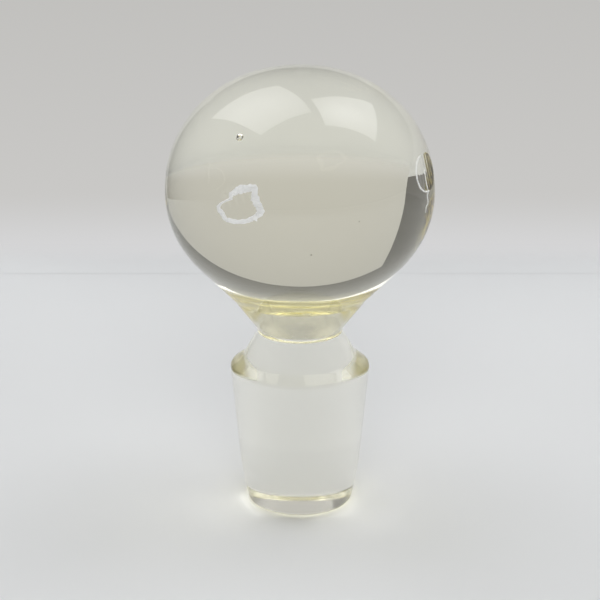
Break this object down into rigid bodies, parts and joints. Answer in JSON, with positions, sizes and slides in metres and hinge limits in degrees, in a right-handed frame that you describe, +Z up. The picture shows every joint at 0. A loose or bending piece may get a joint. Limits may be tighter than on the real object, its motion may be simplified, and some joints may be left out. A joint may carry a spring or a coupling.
{
  "type": "glass stopper",
  "caption": "Solid glass stopper with a ground, tapered plug, a pinched waist and a round ball grip, standing on the flat end of its plug.",
  "frame": {"origin": "on the floor, in the middle of the plug's flat end, under the ball", "axes": "+Z up the stopper's axis, from the plug's flat end toward the ball; one flake scar is on the front left of the ball, toward -X and -Y, and the other on its right, toward +X and -Y"},
  "size_m": [0.04, 0.04, 0.0681],
  "materials": {
    "glass": "clear soda-lime glass with a faint straw tint, fire polished, with a smooth ground plug"
  },
  "bodies": {
    "root": {"stopper": "glass"}
  },
  "joints": []
}
